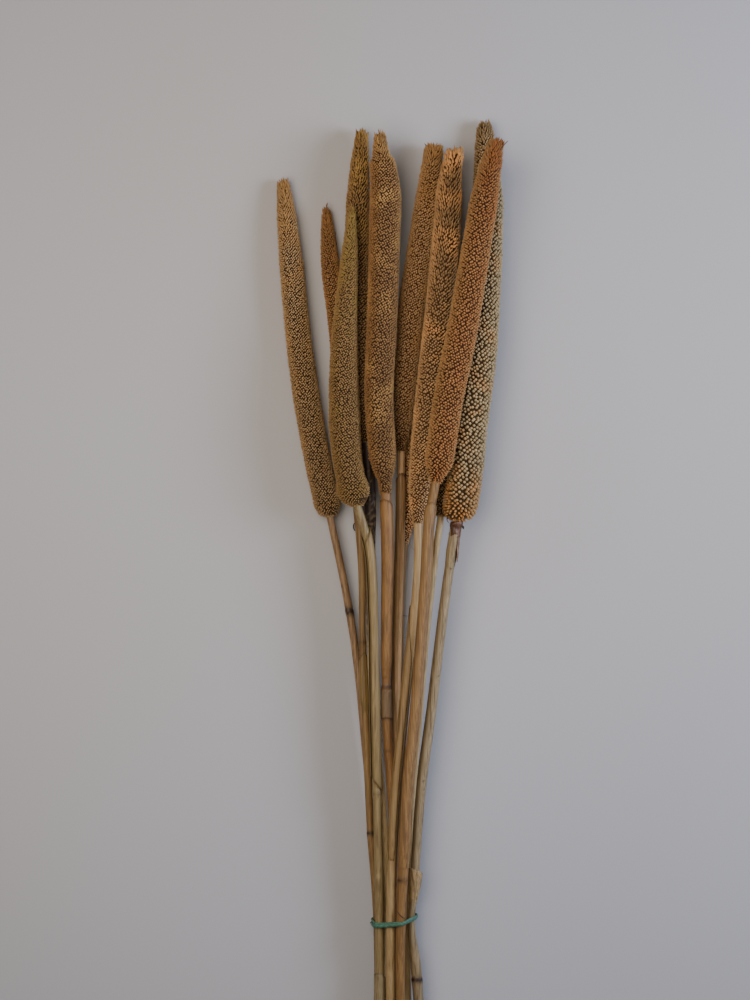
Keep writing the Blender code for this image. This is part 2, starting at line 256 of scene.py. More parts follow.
def huskMaterial(name, look):
    # dry millet husks: chaffy and quite matt, with a painted highlight where a tip catches light and
    # painted shade, dark brown, in the gaps between grains
    material, tree, shader = startMaterial(name)
    height = addNode(tree, "ShaderNodeAttribute", {"attribute_name": "height"})
    tint = addNode(tree, "ShaderNodeAttribute", {"attribute_name": "tint"})
    blush = addNode(tree, "ShaderNodeAttribute", {"attribute_name": "blush"})
    # painted shade low on each grain, rising through the body colour to a painted highlight at its tip
    ramp = addNode(tree, "ShaderNodeValToRGB", links={"Fac": height.outputs["Fac"]})
    setStops(ramp.color_ramp, [(0.2, look["paintedGapShade"]), (0.65, look["body"]), (1.0, look["pale"])])
    warm = addNode(tree, "ShaderNodeMix", {"data_type": "RGBA", 7: toLinear(look["blush"])},
                   {0: blush.outputs["Fac"], 6: ramp.outputs["Color"]})
    # painted light: the flank that faces the light side takes its own colour
    paintedLitFlank = addNode(tree, "ShaderNodeAttribute", {"attribute_name": "paintedLitFlank"})
    sided = addNode(tree, "ShaderNodeMix", {"data_type": "RGBA", 7: toLinear(look["paintedLitFlank"])},
                    {0: paintedLitFlank.outputs["Fac"], 6: warm.outputs[2]})
    varied = addNode(tree, "ShaderNodeHueSaturation",
                     links={"Value": tint.outputs["Fac"], "Color": sided.outputs[2]})
    tree.links.new(varied.outputs["Color"], shader.inputs["Base Color"])
    place = addNode(tree, "ShaderNodeTexCoord")
    # flecks of chaff about 0.4 mm wide
    chaff = addNode(tree, "ShaderNodeTexNoise", {"Scale": 2500.0, "Detail": 2.0},
                    {"Vector": place.outputs["Object"]})
    bump = addNode(tree, "ShaderNodeBump", {"Strength": 0.3, "Distance": 0.0001},
                   {"Height": chaff.outputs["Fac"]})
    tree.links.new(bump.outputs["Normal"], shader.inputs["Normal"])
    # the fine hairs of the chaff catch light along the edges
    setSockets(shader, {"Sheen Weight": 0.45, "Sheen Roughness": 0.45, "Sheen Tint": toLinear("E8C490"),
                        "Roughness": 0.8, "Specular IOR Level": 0.25})
    return material


def grainShape(plump):
    # one husk, plump with a point or slimmer, in units of its width and height
    sides = 5
    rows = ((0.1, 0.3), (0.5, 0.5), (0.84, 0.4)) if plump else ((0.05, 0.28), (0.55, 0.5))
    corners = []
    for height, radius in rows:
        for side in range(sides):
            turn = 2 * math.pi * side / sides
            corners.append((radius * math.cos(turn), radius * math.sin(turn), height))
    corners.append((0.0, 0.0, 1.0))
    faces = []
    for row in range(len(rows) - 1):
        for side in range(sides):
            low, after = row * sides + side, row * sides + (side + 1) % sides
            faces += [(low, after, after + sides), (low, after + sides, low + sides)]
    last = sides * (len(rows) - 1)
    faces += [(last + side, last + (side + 1) % sides, last + sides) for side in range(sides)]
    return np.array(corners), np.array(faces)


def placeGrains(rings, look):
    # each grain's y, direction, how far out its tip stands and its spacing, wound up the head as
    # seeds grow, and then the ones that close both ends
    samples = 600
    fine = np.linspace(rings[0, 1], rings[-1, 1], samples)
    pitch = look["grain"] * mm * np.linspace(1, look["fine"], samples)
    steps = np.diff(fine) * (along(rings, fine)[2] * 2 * math.pi / (grains["room"] * pitch ** 2))[1:]
    passed = np.concatenate([[0], np.cumsum(steps)])
    index = np.arange(int(passed[-1])) + 0.5
    y = np.interp(index, passed, fine)
    spacing = np.interp(y, fine, pitch)
    out = along(rings, y)[2]
    angle = index * goldenAngle + chance.normal(0, grains["stray"], len(index)) * spacing / out
    y = np.clip(y + chance.normal(0, grains["stray"], len(index)) * spacing, rings[0, 1], rings[-1, 1])
    # the base is left open where the stem comes in
    for end, inner, size in ((rings[0], 0.45, pitch[0]), (rings[-1], 0.0, pitch[-1])):
        count = int(math.pi * end[3] ** 2 * (1 - inner ** 2) / (grains["room"] * size ** 2) * 1.2) + 3
        share = np.sqrt(chance.uniform(inner ** 2, 1, count))
        y = np.concatenate([y, np.full(count, end[1])])
        angle = np.concatenate([angle, chance.uniform(0, 2 * math.pi, count)])
        out = np.concatenate([out, end[3] * share])
        spacing = np.concatenate([spacing, np.full(count, size)])
    return y, angle, out, spacing


def grainFrames(rings, y, angle):
    # the head's own direction at each grain, and the direction straight out of it there
    step = 0.004
    ahead, behind = along(rings, y + step), along(rings, y - step)
    axis = np.stack([ahead[0] - behind[0], np.full(len(y), 2 * step), ahead[1] - behind[1]], axis=1)
    axis /= np.linalg.norm(axis, axis=1)[:, None]
    outward = np.stack([np.sin(angle), np.zeros(len(y)), np.cos(angle)], axis=1)
    outward -= axis * (outward * axis).sum(axis=1)[:, None]
    outward /= np.linalg.norm(outward, axis=1)[:, None]
    return axis, outward


def makeCore(rings, look):
    # the rachis between the grains, a little short of the head at both ends; the material colours it
    # with the painted gap shade, a little darker
    low, high = rings[0, 1], rings[-1, 1]
    def corePlace(across, length):
        at = low + 0.002 + (high - low - 0.006) * length
        middleX, middleZ, radius = stalkAt(rings, at)
        radius = max(radius - look["grain"] * mm * 0.75, 0.3 * radius)
        return pointRound(middleX, at, middleZ, radius, 2 * math.pi * across)
    core = rolledTube(20, 60, corePlace)
    bmesh.ops.triangulate(core, faces=core.faces[:])
    core.verts.ensure_lookup_table()
    spots = np.array([vert.co[:] for vert in core.verts])
    faces = np.array([[vert.index for vert in face.verts] for face in core.faces])
    core.free()
    return spots, faces


def triangleData(name, spots, faces):
    data = bpy.data.meshes.new(name)
    data.vertices.add(len(spots))
    data.vertices.foreach_set("co", spots.astype(np.float32).ravel())
    data.loops.add(faces.size)
    data.loops.foreach_set("vertex_index", faces.astype(np.int32).ravel())
    data.polygons.add(len(faces))
    data.polygons.foreach_set("loop_start", np.arange(len(faces), dtype=np.int32) * 3)
    data.update(calc_edges=True)
    return data


def makeHead(key):
    look, rings = headLooks[key], stalks[key]["head"].copy()
    low, high = rings[0, 1], rings[-1, 1]
    rings[:, 0] += look["shift"] * mm * np.clip((rings[:, 1] - low) / (high - low) * 5, 0, 1)
    rings[:, 3] *= look["swell"]
    y, angle, out, spacing = placeGrains(rings, look)
    count = len(y)
    out += look["skirt"] * mm * np.exp(-((y - low - 0.013) / 0.006) ** 2)
    share = (y - low) / (high - low)
    x, z, _ = along(rings, y)
    axis, outward = grainFrames(rings, y, angle)
    # folded back at the base and upright at the tip, where the last ones make a ragged tuft
    nearBase = np.exp(-((y - low) / 0.012) ** 1.2)
    nearTip = np.exp(-((high - y) / (look["spiky"] * mm)) ** 2)
    inTuft = np.exp(-((high - y) / 0.007))
    lean = grains["lean"] - grains["folded"] * nearBase + grains["upright"] * nearTip
    lean = np.radians(lean + grains["tuft"] * inTuft + chance.normal(0, grains["spread"], count))
    long = 1 + 0.6 * nearBase + 1.1 * nearTip
    tall = spacing * grains["tall"] * long * chance.uniform(0.8, 1.2, count)
    slim = grains["wide"] - 0.2 * nearTip - 0.32 * nearBase
    wide = spacing * slim * chance.uniform(0.88, 1.12, count)
    point = outward * np.cos(lean)[:, None] + axis * np.sin(lean)[:, None]
    sideways = np.cross(axis, outward)
    upright = np.cross(point, sideways)
    uneven = chance.normal(0, 0.2 * mm, count) - 0.1 * mm
    jutting = np.abs(chance.normal(0, 1.5 * mm, count)) * np.exp(-((high - y) / 0.004))
    tip = np.stack([x, y, z], axis=1) + outward * (out + uneven)[:, None] + axis * jutting[:, None]
    root = tip - point * tall[:, None]
    shape, faces = grainShape(look["grain"] > grains["plump"])
    spots = (root[:, None, :]
             + shape[None, :, 0:1] * wide[:, None, None] * sideways[:, None, :]
             + shape[None, :, 1:2] * wide[:, None, None] * upright[:, None, :]
             + shape[None, :, 2:3] * tall[:, None, None] * point[:, None, :]).reshape(-1, 3)
    turns = (np.arange(count)[:, None, None] * len(shape) + faces[None]).reshape(-1, 3)
    coreSpots, coreFaces = makeCore(rings, look)
    data = triangleData(f"millet_head_{key}", np.concatenate([spots, coreSpots]),
                        np.concatenate([turns, coreFaces + len(spots)]))
    # what the material reads: how high on its grain, how bright, and how much of each colour
    blushAt, blushSpan = look["at"]
    blush = np.clip(1 - np.abs(share - blushAt) / blushSpan, 0, 1) * chance.uniform(0.5, 1, count)
    patches = np.array([noise.noise(Vector(spot) * 70) for spot in tip])
    blush = np.clip(blush + 0.9 * patches, 0, 1)
    # painted light on the flank that faces side, up to nearly half strength
    side = math.radians(look["side"])
    facing = outward[:, 0] * math.sin(side) + outward[:, 2] * math.cos(side)
    paintedLitFlank = np.clip((facing - 0.45) / 0.5, 0, 1) * 0.45
    dimmed = look["low"] + (1 - look["low"]) * share
    tint = (1.02 + 0.2 * patches) * chance.uniform(0.84, 1.16, count) * dimmed
    tint *= 1 + 0.45 * look["skirt"] * nearBase
    # height sets the painted gap shade and tip highlight; the core takes the gap shade, a little darker
    layers = {
        "height": (np.tile(shape[:, 2], count), 0.0),
        "tint": (np.repeat(tint, len(shape)), 0.7),
        "blush": (np.repeat(blush, len(shape)) * 0.85, 0.0),
        "paintedLitFlank": (np.repeat(paintedLitFlank, len(shape)), 0.0),
    }
    for name, (values, onCore) in layers.items():
        values = np.concatenate([values, np.full(len(coreSpots), onCore)])
        data.attributes.new(name, "FLOAT", "POINT").data.foreach_set("value", values.astype(np.float32))
    addPiece(f"millet_head_{key}", data, huskMaterial(f"millet_husk_{key}", look), f"head_{key}")
    return count


total = sum(makeHead(key) for key in headLooks)
print("seed heads made, grains:", total)


# stems

# straw colours, and dark marks as (y in mm, half length in mm, strength, direction in degrees
# from the top, or None for all round); a strength below nought is a pale mark; stem 11's pale
# mark is painted light, and stem 4's dark marks are partly painted shade
stemLooks = {
    1: {"body": "806446", "shade": "624830", "light": "9C8262",
        "marks": [(-19, 3.4, 1.3, None), (-60, 2, 0.3, 20)]},
    2: {"body": "7A6038", "shade": "5E4424", "light": "92784E",
        "marks": [(-42, 1.5, 0.5, None), (-186, 1.5, 1.4, None)]},
    3: {"body": "82724C", "shade": "665838", "light": "9A8864",
        "marks": [(-155, 1.2, 0.4, None), (-217, 2.6, -0.6, -12)]},
    # stem 4: its straw colours are painted light, paler than the straw, where it lies in the shade of
    # its neighbours lower down; its two long dark marks near the heads are partly its own dark straw
    # and partly painted shade between heads 3 and 5
    4: {"body": "C4AE80", "shade": "9C865C", "light": "DCC69A",
        "marks": [(85, 62, 1.6, None), (-25, 42, 0.9, None)]},
    5: {"body": "7C5A34", "shade": "624228", "light": "926E42",
        "marks": [(-75, 1.3, 1.1, None), (-99, 0.9, 0.8, None), (-123, 1.2, 0.8, -10)]},
    # stem 6: its straw colours are painted light, far paler than the straw, where it lies in deep shade
    # between the other stalks
    6: {"body": "D8B080", "shade": "B0885E", "light": "EAC89C", "marks": [(-150, 1.5, 0.6, None)]},
    7: {"body": "9C845C", "shade": "7E6642", "light": "B8A078", "marks": [(-120, 1.5, 0.3, 30)]},
    8: {"body": "86765A", "shade": "68583A", "light": "A69678",
        "marks": [(-146, 0.9, 1.0, 20), (-152, 0.8, 1.0, 35), (-67, 0.9, 0.9, 40),
                  (-296, 2.0, 1.2, None), (-320, 30, 0.3, None), (30, 2, 0.6, -15)]},
    9: {"body": "785A36", "shade": "5E4226", "light": "967648", "marks": [(-219, 1.6, 0.9, None)]},
    10: {"body": "7C6038", "shade": "5C4426", "light": "947850", "marks": [(-110, 1.5, 0.5, None)]},
    # stem 11: the long pale mark just above the tie is painted light where it lies in shade between
    # stems 9 and 8
    11: {"body": "AA946A", "shade": "887048", "light": "C2AC82",
         "marks": [(-170, 1.2, 0.3, 0), (-178, 34, -0.7, None)]},
}


def strawMaterial(name, look):
    # dried grass culm: a hard waxy skin with fine long fibres, satin along its length and
    # stained at the knots
    material, tree, shader = startMaterial(name)
    place = addNode(tree, "ShaderNodeTexCoord")
    # fibres about 0.5 mm wide and 30 mm long
    long = addNode(tree, "ShaderNodeMapping", {"Scale": (2000.0, 33.0, 2000.0)},
                   {"Vector": place.outputs["Object"]})
    fibres = addNode(tree, "ShaderNodeTexNoise", {"Scale": 1.0, "Detail": 3.0, "Roughness": 0.6},
                     {"Vector": long.outputs["Vector"]})
    # weathering in patches about 6 mm wide and 25 mm long
    patches = addNode(tree, "ShaderNodeMapping", {"Scale": (160.0, 40.0, 160.0)},
                      {"Vector": place.outputs["Object"]})
    weather = addNode(tree, "ShaderNodeTexNoise", {"Scale": 1.0, "Detail": 4.0, "Roughness": 0.55},
                      {"Vector": patches.outputs["Vector"]})
    ramp = addNode(tree, "ShaderNodeValToRGB", links={"Fac": fibres.outputs["Fac"]})
    setStops(ramp.color_ramp, [(0.34, look["shade"]), (0.5, look["body"]), (0.66, look["light"])])
    patchRamp = addNode(tree, "ShaderNodeValToRGB", links={"Fac": weather.outputs["Fac"]})
    setStops(patchRamp.color_ramp, [(0.3, look["shade"]), (0.7, look["light"])])
    mixed = addNode(tree, "ShaderNodeMix", {"data_type": "RGBA", 0: 0.35},
                    {6: ramp.outputs["Color"], 7: patchRamp.outputs["Color"]})
    # fine cracks along the grain, about 1.5 mm apart and 140 mm long
    drawn = addNode(tree, "ShaderNodeMapping", {"Scale": (650.0, 7.0, 650.0)},
                    {"Vector": place.outputs["Object"]})
    cracks = addNode(tree, "ShaderNodeTexNoise", {"Scale": 1.0, "Detail": 1.0},
                     {"Vector": drawn.outputs["Vector"]})
    thin = addNode(tree, "ShaderNodeMapRange",
                   {"From Min": 0.34, "From Max": 0.41, "To Min": 0.5, "To Max": 0.0},
                   {"Value": cracks.outputs["Fac"]})
    cracked = addNode(tree, "ShaderNodeMix", {"data_type": "RGBA", 7: toLinear("4A341E")},
                      {0: thin.outputs["Result"], 6: mixed.outputs[2]})
    # dark knots, stains and marks, stem 4's long marks partly painted shade
    stainAndShade = addNode(tree, "ShaderNodeAttribute", {"attribute_name": "stainAndShade"})
    dark = addNode(tree, "ShaderNodeMix", {"data_type": "RGBA", 7: toLinear("26160C")},
                   {0: stainAndShade.outputs["Fac"], 6: cracked.outputs[2]})
    # pale pith on the cut ends and pale marks, the one on stem 11 painted light
    pithScarAndPaintedLight = addNode(tree, "ShaderNodeAttribute", {"attribute_name": "pithScarAndPaintedLight"})
    cutScarAndPaintedLight = addNode(tree, "ShaderNodeMix", {"data_type": "RGBA", 7: toLinear("C9B48A")},
                  {0: pithScarAndPaintedLight.outputs["Fac"], 6: dark.outputs[2]})
    tree.links.new(cutScarAndPaintedLight.outputs[2], shader.inputs["Base Color"])
    rough = addNode(tree, "ShaderNodeMapRange", {"To Min": 0.4, "To Max": 0.62},
                    {"Value": weather.outputs["Fac"]})
    tree.links.new(rough.outputs["Result"], shader.inputs["Roughness"])
    bump = addNode(tree, "ShaderNodeBump", {"Strength": 0.5, "Distance": 0.00015},
                   {"Height": fibres.outputs["Fac"]})
    tree.links.new(bump.outputs["Normal"], shader.inputs["Normal"])
    setSockets(shader, {"IOR": 1.5, "Specular IOR Level": 0.4})
    return material


def makeStem(key):
    look, rings = stemLooks[key], stalks[key]["stem"]
    low, high = rings[0, 1], rings[-1, 1] + 0.002  # it runs on a little into its head
    # a pinched line just over each knot, as a grass stem has
    pinches = [(spot + 1.6) * mm for spot, _, strength, facing in look["marks"]
               if facing is None and strength > 0.45]
    def stemPlace(across, length):
        at = low + (high - low) * length
        middleX, middleZ, radius = stalkAt(rings, at)
        turn = 2 * math.pi * across
        ripple = noise.noise(Vector((math.sin(turn) * 2, at * 60 + key, math.cos(turn) * 2)))
        ridge = 0.02 * math.sin(9 * turn + key) + 0.03 * ripple
        for pinch in pinches:
            ridge -= 0.1 * fade((at - pinch) / (0.7 * mm))
        radius *= 0.99 + ridge
        return pointRound(middleX, at, middleZ, radius, turn)
    mesh = rolledTube(20, 300, stemPlace)
    acrossLayer = mesh.verts.layers.float["across"]
    stainAndShadeLayer = mesh.verts.layers.float.new("stainAndShade")
    pithScarAndLightLayer = mesh.verts.layers.float.new("pithScarAndPaintedLight")
    ends = [face for face in mesh.faces if len(face.verts) > 4]
    bmesh.ops.inset_region(mesh, faces=ends, thickness=0.6 * mm, depth=-0.2 * mm)
    # each mark darkens or, below nought, lightens the straw; stem 4's dark marks are partly painted
    # shade and stem 11's pale mark is painted light
    for vert in mesh.verts:
        stainAndShade, pale = 0.0, 0.0
        for spot, half, strength, facing in look["marks"]:
            near = fade((vert.co.y / mm - spot) / half)
            if facing is not None:
                aside = halfTurn(vert[acrossLayer] * 360 - facing)
                near *= fade(aside / (35 if half > 1 else 14))
            stainAndShade += max(0.0, strength) * near
            pale += max(0.0, -strength) * near
        vert[stainAndShadeLayer] = min(stainAndShade * (0.8 + 0.5 * noise.noise(vert.co * 500)), 1.0)
        vert[pithScarAndLightLayer] = pale * (0.6 + 0.8 * noise.noise(vert.co * 900))
    for face in ends:
        for vert in face.verts:
            vert[pithScarAndLightLayer] = 1.0
    name = f"straw_stem_{key}"
    addPiece(name, meshData(name, mesh), strawMaterial(f"millet_straw_{key}", look), f"stem_{key}")


for key in stemLooks:
    makeStem(key)
print("stems made")


# leaf sheaths

# slant: of the mouth in mm; split, width: middle and width of the split in degrees from the
# top towards +X; flare: at the mouth in mm; grown: whether the foot has grown into the stem;
# seam: the direction of the dark seam along it; foot: how far its lower edge slants in mm
sheathLooks = {
    "sheath_2": {"stalk": 2, "slant": 14, "split": 200, "width": 70, "flare": 0.0, "grown": True,
                 "seam": 25, "foot": 0, "body": "867244", "light": "98824E"},
    "sheath_3": {"stalk": 3, "slant": 12, "split": -45, "width": 30, "flare": 0.0, "grown": False,
                 "seam": -60, "foot": 4.7, "body": "806C42", "light": "98825A"},
    "sheath_3_low": {"stalk": 3, "slant": 5, "split": 150, "width": 60, "flare": 0.0, "grown": False,
                     "seam": 40, "foot": 0, "body": "86785A", "light": "A09272"},
    "sheath_5": {"stalk": 5, "slant": 8, "split": 160, "width": 60, "flare": 0.0, "grown": True,
                 "seam": -75, "foot": 0, "body": "7C5A30", "light": "947042"},
    "sheath_6": {"stalk": 6, "slant": 12, "split": 190, "width": 60, "flare": 0.0, "grown": True,
                 "seam": 10, "foot": 0, "body": "7A5C36", "light": "947A50"},
    "sheath_7": {"stalk": 7, "slant": 42, "split": 65, "width": 80, "flare": 0.0, "grown": True,
                 "seam": -50, "foot": 0, "body": "826A44", "light": "9E865E"},
    "sheath_8": {"stalk": 8, "slant": 4, "split": 120, "width": 80, "flare": 1.6, "grown": True,
                 "seam": 15, "foot": 0, "body": "A08860", "light": "C2AA84"},
    "sheath_8_high": {"stalk": 8, "slant": 6, "split": 60, "width": 50, "flare": 0.0, "grown": True,
                      "seam": -30, "foot": 0, "body": "8A7A5A", "light": "A8987A"},
    "sheath_9": {"stalk": 9, "slant": 10, "split": 170, "width": 60, "flare": 0.0, "grown": True,
                 "seam": 30, "foot": 0, "body": "80623C", "light": "9E7E52"},
}


def makeSheath(node):
    look = sheathLooks[node]
    rings = stalks[look["stalk"]]["stem"]
    lowCorner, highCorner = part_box(node)
    low, high = lowCorner[1], highCorner[1]
    spread = math.radians(360 - look["width"])
    start = math.radians(look["split"] + look["width"] / 2)
    def sheathPlace(across, length):
        jag = 1.2 * mm * noise.noise(Vector((across * 14, look["stalk"], 0.0)))
        top = high - look["slant"] * mm * abs(2 * across - 1) ** 1.5 + jag
        turn = start + spread * across
        bottom = low - look["foot"] * mm * math.sin(turn)
        at = bottom + (top - bottom) * length
        middleX, middleZ, radius = stalkAt(rings, at)
        wave = 0.12 * mm * noise.noise(Vector((across * 3, at * 40, look["stalk"])))
        vein = 0.03 * mm * math.sin(across * 80)
        edge = abs(2 * across - 1) ** 6
        rise = 1.05 * min(1.0, length * (high - low) / (14 * mm)) - 0.2 if look["grown"] else 0.85
        radius += rise * mm + look["flare"] * mm * length + wave + vein + 0.2 * mm * edge
        return pointRound(middleX, at, middleZ, radius, turn)
    stations = max(20, int((high - low) / 0.003))
    mesh = rolledTube(40, stations, sheathPlace, closed=False)
    acrossLayer = mesh.verts.layers.float["across"]
    alongLayer = mesh.verts.layers.float["along"]
    stainAndShadeLayer = mesh.verts.layers.float.new("stainAndShade")
    span = (high - low) / mm
    for vert in mesh.verts:
        edge = abs(2 * vert[acrossLayer] - 1)
        turn = math.degrees(start + spread * vert[acrossLayer])
        drift = 6 * noise.noise(Vector((0.0, vert.co.y * 25, look["stalk"])))
        mouth = fade((1 - vert[alongLayer]) * span) * 0.35
        rim = fade((1 - edge) * 18) * 0.4
        seam = fade(halfTurn(turn - look["seam"] - drift) / 7) * 0.35
        foot = 0.0 if look["grown"] else fade(vert[alongLayer] * span) * 0.45
        vert[stainAndShadeLayer] = max(mouth, rim, seam, foot)
    giveThickness(mesh, 0.3 * mm)
    # the stalk's shade tone, which on stalk 6 is part of the stem's painted light
    shades = {"body": look["body"], "shade": stemLooks[look["stalk"]]["shade"], "light": look["light"]}
    name = f"leaf_{node}"
    addPiece(name, meshData(name, mesh), strawMaterial(f"dry_leaf_{node}", shades), node)


for node in sheathLooks:
    makeSheath(node)
print("leaf sheaths made")


# torn bits of leaf

# y: from root to end in mm; facing, span: direction and width round the stalk in degrees;
# lift: how far off the stem at root and end in mm; taper: how much narrower the end is;
# crumple: how uneven it is in mm
leafBits = {
    "bract_collar": {"stalk": 8, "y": (37, 49), "facing": 10, "span": 230, "lift": (0.8, 1.5),
                     "taper": 0.0, "crumple": 1.3, "stainAndShade": 0.5,
                     "body": "6E4630", "shade": "3E2416", "light": "96705A"},
    "bract_tail": {"stalk": 8, "y": (40, 19), "facing": 70, "span": 90, "lift": (0.9, 1.9),
                   "taper": 0.85, "crumple": 0.5, "stainAndShade": 0.35,
                   "body": "8E6A52", "shade": "5E3C2A", "light": "B08C74"},
    "sleeve_5": {"stalk": 5, "y": (-77, -98.5), "facing": 0, "span": 320, "lift": (0.3, 0.6),
                 "taper": 0.0, "crumple": 0.15, "stainAndShade": 0.12,
                 "body": "705A3E", "shade": "543F28", "light": "867254"},
}


def makeLeafBit(name):
    bit = leafBits[name]
    rings = stalks[bit["stalk"]]["stem"]
    def leafPlace(across, length):
        ragged = 1.5 * noise.noise(Vector((across * 5, 3.0, length)))
        at = (bit["y"][0] + (bit["y"][1] - bit["y"][0]) * length + ragged) * mm
        middleX, middleZ, radius = stalkAt(rings, at)
        lift = bit["lift"][0] + (bit["lift"][1] - bit["lift"][0]) * length
        crumple = bit["crumple"] * noise.noise(Vector((across * 4, length * 3, 7.0)))
        turn = math.radians(bit["facing"] + (across - 0.5) * bit["span"] * (1 - bit["taper"] * length))
        radius += (lift + crumple) * mm
        return pointRound(middleX, at, middleZ, radius, turn)
    mesh = rolledTube(28, 20, leafPlace, closed=False)
    stainAndShadeLayer = mesh.verts.layers.float.new("stainAndShade")
    for vert in mesh.verts:
        vert[stainAndShadeLayer] = bit["stainAndShade"] * (1 + noise.noise(vert.co * 300))
    giveThickness(mesh, 0.2 * mm)
    addPiece(name, meshData(name, mesh), strawMaterial(f"dry_leaf_{name}", bit))


for name in leafBits:
    makeLeafBit(name)


# loose hairs and specks

# colour, half thickness in mm, and three points as (stalk, y in mm, direction in degrees,
# distance from the stalk's middle in mm)
hairs = {
    "wisp_head_6": {"colour": "4A4036", "thick": 0.4,
                    "points": [(6, 329, -70, 5.2), (6, 331.5, -76, 7.0), (6, 333.6, -80, 8.8)]},
    "wisp_head_9": {"colour": "5A3A24", "thick": 0.35,
                    "points": [(9, 326, 80, 5.0), (9, 329, 80, 6.6), (9, 331, 80, 8.2)]},
    "hair_between_stems": {"colour": "3C3028", "thick": 0.15,
                           "points": [(6, -21.5, 90, 3.0), (6, -22.2, 90, 5.6), (7, -22, -90, 3.4)]},
    "speck_stem_2": {"colour": "1E1410", "thick": 0.6,
                     "points": [(2, 47.5, -88, 3.3), (2, 44.5, -88, 4.2), (2, 41.5, -88, 3.5)]},
    "hair_head_10": {"colour": "8A7A68", "thick": 0.15,
                     "points": [(10, 35, 60, 2.5), (10, 30, 75, 5.0), (10, 26.6, 80, 8.0)]},
    "knob_bract": {"colour": "34221A", "thick": 0.9,
                   "points": [(8, 46, 55, 4.2), (8, 45, 68, 5.4), (8, 43.4, 76, 6.0)]},
    "hair_bract": {"colour": "4A382C", "thick": 0.25,
                   "points": [(8, 53, -84, 8.2), (8, 49.6, -86, 7.4), (8, 47.5, -75, 5.2)]},
    "crack_stem_9": {"colour": "2E1E14", "thick": 0.38,
                     "points": [(9, -242, -75, 3.65), (9, -245.5, -10, 3.65), (9, -248.5, 60, 3.7)]},
}


def fibreMaterial(name, colour):
    # a thin dry plant fibre, matt, with grime in flecks about 1 mm long
    material, tree, shader = startMaterial(name)
    place = addNode(tree, "ShaderNodeTexCoord")
    grime = addNode(tree, "ShaderNodeTexNoise", {"Scale": 900.0, "Detail": 2.0},
                    {"Vector": place.outputs["Object"]})
    spread = addNode(tree, "ShaderNodeMapRange", {"To Min": 0.7, "To Max": 1.3},
                     {"Value": grime.outputs["Fac"]})
    varied = addNode(tree, "ShaderNodeHueSaturation", {"Color": toLinear(colour)},
                     {"Value": spread.outputs["Result"]})
    tree.links.new(varied.outputs["Color"], shader.inputs["Base Color"])
    setSockets(shader, {"Roughness": 0.75})
    return material


def makeHair(name):
    hair = hairs[name]
    points = []
    for key, y, direction, out in hair["points"]:
        part = "head" if y * mm > stalks[key]["head"][0, 1] else "stem"
        x, z, _ = stalkAt(stalks[key][part], y * mm)
        points.append(pointRound(x, y * mm, z, out * mm, math.radians(direction)))
    first, second, third = points
    def hairPlace(across, length):
        # a curve through the three points, thinner at both ends
        spot = (first * (1 - length) * (1 - 2 * length) + second * 4 * length * (1 - length)
                + third * length * (2 * length - 1))
        forward = first * (4 * length - 3) + second * (4 - 8 * length) + third * (4 * length - 1)
        forward.normalize()
        side = forward.cross(Vector((0.1, 0.2, 1.0))).normalized()
        out = forward.cross(side)
        radius = hair["thick"] * mm * (0.35 + 0.65 * math.sin(math.pi * (0.08 + 0.84 * length)))
        turn = 2 * math.pi * across
        return spot + (side * math.cos(turn) + out * math.sin(turn)) * radius
    mesh = rolledTube(8, 16, hairPlace)
    addPiece(name, meshData(name, mesh), fibreMaterial(f"fibre_{name}", hair["colour"]))


for name in hairs:
    makeHair(name)
print("torn leaf, hairs and specks made")


# rubber band

# where it sits and the strand's half thickness in mm, how far its two turns lie apart, how
# askew it runs across the stems, how far it sags on top, and where round it the turns cross
band = {"y": -251.2, "strand": 0.85, "spread": 1.6, "askew": 0.14, "sag": 1.6, "crossing": 0.9,
        "steps": 240, "dark": "2F5648", "colour": "3C7262", "worn": "5E9080"}


def rubberMaterial(name):
    # stretched natural rubber dyed teal: faintly satin, paler where it is drawn thin and dusty
    material, tree, shader = startMaterial(name)
    place = addNode(tree, "ShaderNodeTexCoord")
    # talc and dust in flecks about 1.5 mm long
    dust = addNode(tree, "ShaderNodeTexNoise", {"Scale": 650.0, "Detail": 3.0},
                   {"Vector": place.outputs["Object"]})
    ramp = addNode(tree, "ShaderNodeValToRGB", links={"Fac": dust.outputs["Fac"]})
    setStops(ramp.color_ramp, [(0.35, band["dark"]), (0.55, band["colour"]), (0.75, band["worn"])])
    tree.links.new(ramp.outputs["Color"], shader.inputs["Base Color"])
    bump = addNode(tree, "ShaderNodeBump", {"Strength": 0.3, "Distance": 0.0001},
                   {"Height": dust.outputs["Fac"]})
    tree.links.new(bump.outputs["Normal"], shader.inputs["Normal"])
    setSockets(shader, {"Roughness": 0.5})
    return material


tiedStems = [list(stalkAt(parts["stem"], band["y"] * mm)) for parts in stalks.values()]


def tieOutline(clearance, angle):
    # the stretched loop round all the stems at the tie, seen from the cut ends
    across, up = math.cos(angle), math.sin(angle)
    x, z, radius = max(tiedStems, key=lambda stem: stem[0] * across + stem[1] * up + stem[2])
    return x + (radius + clearance) * across, z + (radius + clearance) * up


